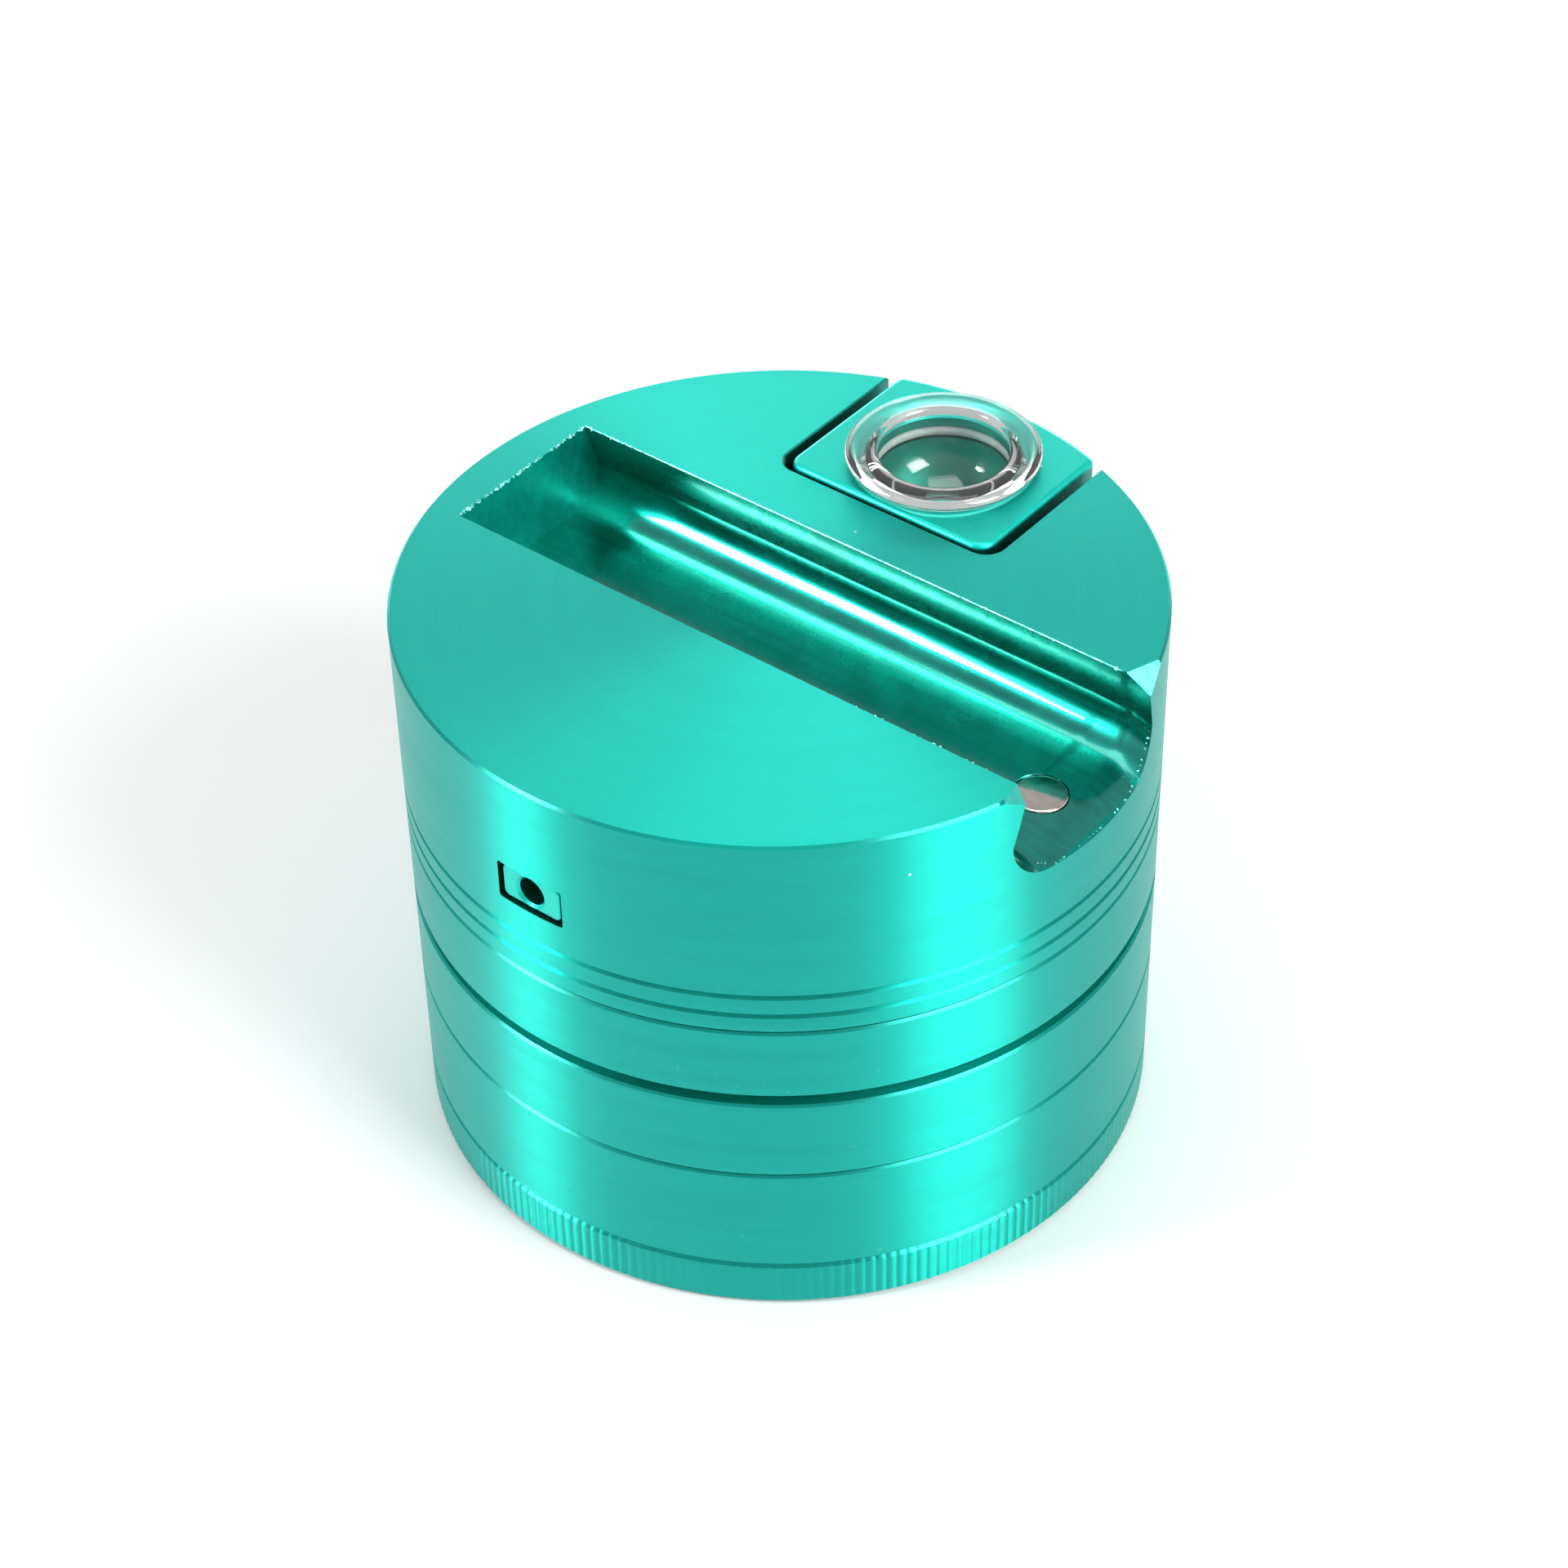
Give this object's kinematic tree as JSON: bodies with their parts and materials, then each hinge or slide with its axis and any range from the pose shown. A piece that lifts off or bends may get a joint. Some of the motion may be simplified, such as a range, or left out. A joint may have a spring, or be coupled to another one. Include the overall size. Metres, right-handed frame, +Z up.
{
  "type": "herb grinder",
  "caption": "Round screw-together herb grinder with knurled base, milled teeth, sieve, open-ended tray trough and a slide-out pipe with a glass bowl.",
  "frame": {"origin": "centre of the flat base, where the grinder stands", "axes": "+Z up through the lid; +X along the trough to its open mouth; +Y the way the pipe slides out, so the mouthpiece end faces -Y"},
  "size_m": [0.063, 0.063, 0.0519],
  "materials": {
    "anodised": "green anodised, brushed on the sides and faced in rings on the top",
    "nickel": "nickel plated",
    "sieve_steel": "woven wire and stamped ring",
    "slick_plastic": "slick nylon, dark green",
    "silicone": "translucent silicone",
    "clear_glass": "clear, fire polished"
  },
  "bodies": {
    "catcher": {"kief_catcher": "anodised"},
    "storage": {"storage_chamber": "anodised", "sieve_mesh": "sieve_steel", "sieve_ring": "sieve_steel"},
    "chamber": {"grinding_chamber": "anodised", "chamber_magnet": "nickel"},
    "slick_ring": {"friction_ring": "slick_plastic"},
    "lid": {"tooth_lid": "anodised", "lid_magnet": "nickel"},
    "tray": {"tray_body": "anodised", "trough_magnet": "nickel", "tray_catch_magnet_left": "nickel", "tray_catch_magnet_right": "nickel"},
    "pipe": {"pipe_head": "anodised", "pipe_stem": "anodised", "bowl_seal": "silicone", "pipe_catch_magnet_left": "nickel", "pipe_catch_magnet_right": "nickel"},
    "bowl": {"glass_bowl": "clear_glass"}
  },
  "joints": [
    {"name": "catcher_unscrew", "type": "slide", "parent": "catcher", "child": "storage", "axis": [0, 0, 1], "range_m": [0, 0.015]},
    {"name": "storage_unscrew", "type": "slide", "parent": "storage", "child": "chamber", "axis": [0, 0, 1], "range_m": [0, 0.016]},
    {"name": "lid_lift", "type": "slide", "parent": "chamber", "child": "slick_ring", "axis": [0, 0, 1], "range_m": [0, 0.022]},
    {"name": "lid_turn", "type": "hinge", "parent": "slick_ring", "child": "lid", "pos_m": [0, 0, 0.0236], "axis": [0, 0, 1], "continuous": true},
    {"name": "tray_unscrew", "type": "slide", "parent": "lid", "child": "tray", "axis": [0, 0, 1], "range_m": [0, 0.015]},
    {"name": "pipe_slide", "type": "slide", "parent": "tray", "child": "pipe", "axis": [0, 1, 0], "range_m": [0, 0.068]},
    {"name": "bowl_lift", "type": "slide", "parent": "pipe", "child": "bowl", "axis": [0, 0, 1], "range_m": [0, 0.015]}
  ]
}
